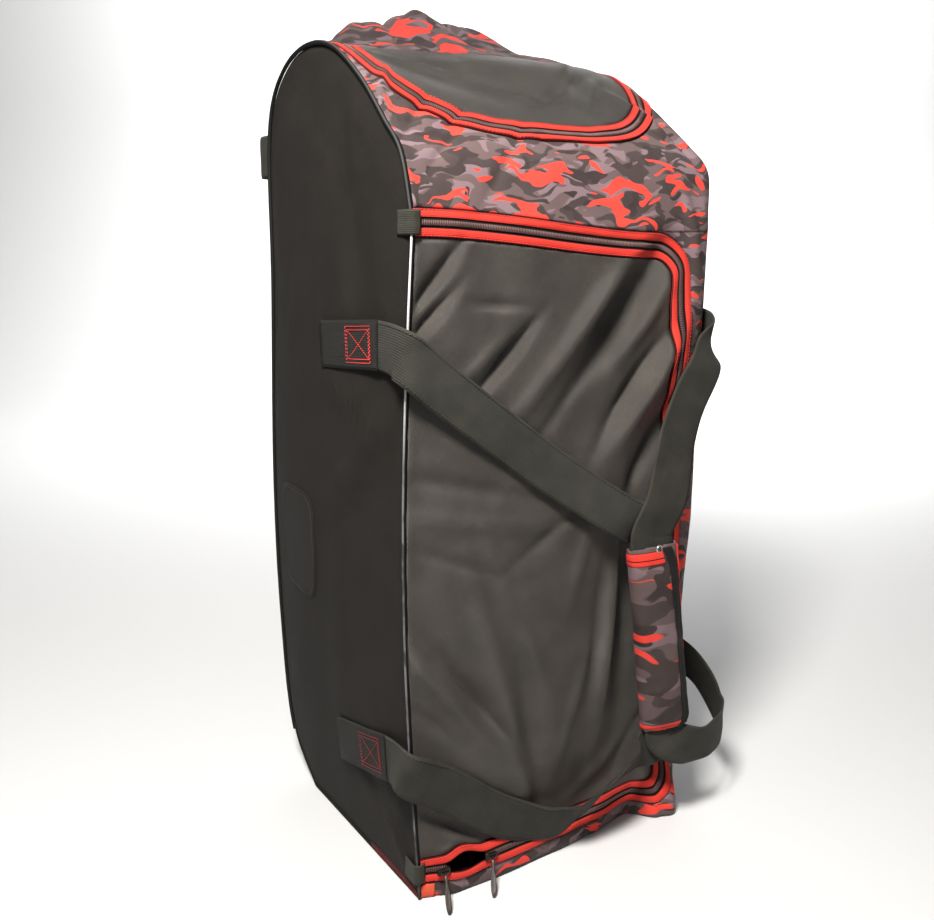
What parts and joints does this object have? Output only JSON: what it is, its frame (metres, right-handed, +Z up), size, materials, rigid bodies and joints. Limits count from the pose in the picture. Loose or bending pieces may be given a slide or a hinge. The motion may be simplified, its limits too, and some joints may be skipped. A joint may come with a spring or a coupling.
{
  "type": "cricket kit bag",
  "caption": "Tall padded cricket kit bag standing on its end, with a zipped lid, an end pocket, carry handles joined by a padded wrap and a grab handle.",
  "frame": {"origin": "middle of the bounding box, on the floor that the bag stands on", "axes": "+Z up along the bag's length, +X from the left side panel to the right one, +Y from the lid to the base behind it"},
  "size_m": [0.4796, 0.4648, 0.9674],
  "materials": {
    "panel_cloth": "black woven polyester with a satin sheen",
    "camo_cloth": "printed woven polyester, mauve grey, charcoal and red camouflage",
    "wrap_cloth": "the same print over padding",
    "red_tape": "woven orange red zip tape",
    "zip_coil": "dark nylon coil",
    "piping": "woven piping with a reflective strip",
    "webbing": "ribbed grey green webbing",
    "zip_metal": "black enamel",
    "pull_plastic": "moulded, slightly soft",
    "patch": "plain woven patch"
  },
  "bodies": {
    "root": {"lid": "panel_cloth", "lid_zip_outer": "red_tape", "lid_zip_inner": "red_tape", "lid_zip_coil": "zip_coil", "lid_zip_end": "zip_coil", "gusset_right": "camo_cloth", "gusset_bottom": "camo_cloth", "gusset_top": "camo_cloth", "pocket_panel": "panel_cloth", "pocket_zip_outer": "red_tape", "pocket_zip_coil": "zip_coil", "pocket_zip_inner": "red_tape", "gusset_crown": "camo_cloth", "base": "panel_cloth", "side_panel_left": "panel_cloth", "side_panel_right": "panel_cloth", "piping_left": "piping", "piping_right": "piping", "handle_left": "webbing", "handle_right": "webbing", "handle_wrap": "wrap_cloth", "rear_handle": "webbing", "seam_tab_top": "webbing", "seam_tab_bottom": "webbing", "slider_left": "zip_metal", "pull_left": "pull_plastic", "slider_right": "zip_metal", "pull_right": "pull_plastic", "flank_patch": "patch"}
  },
  "joints": []
}
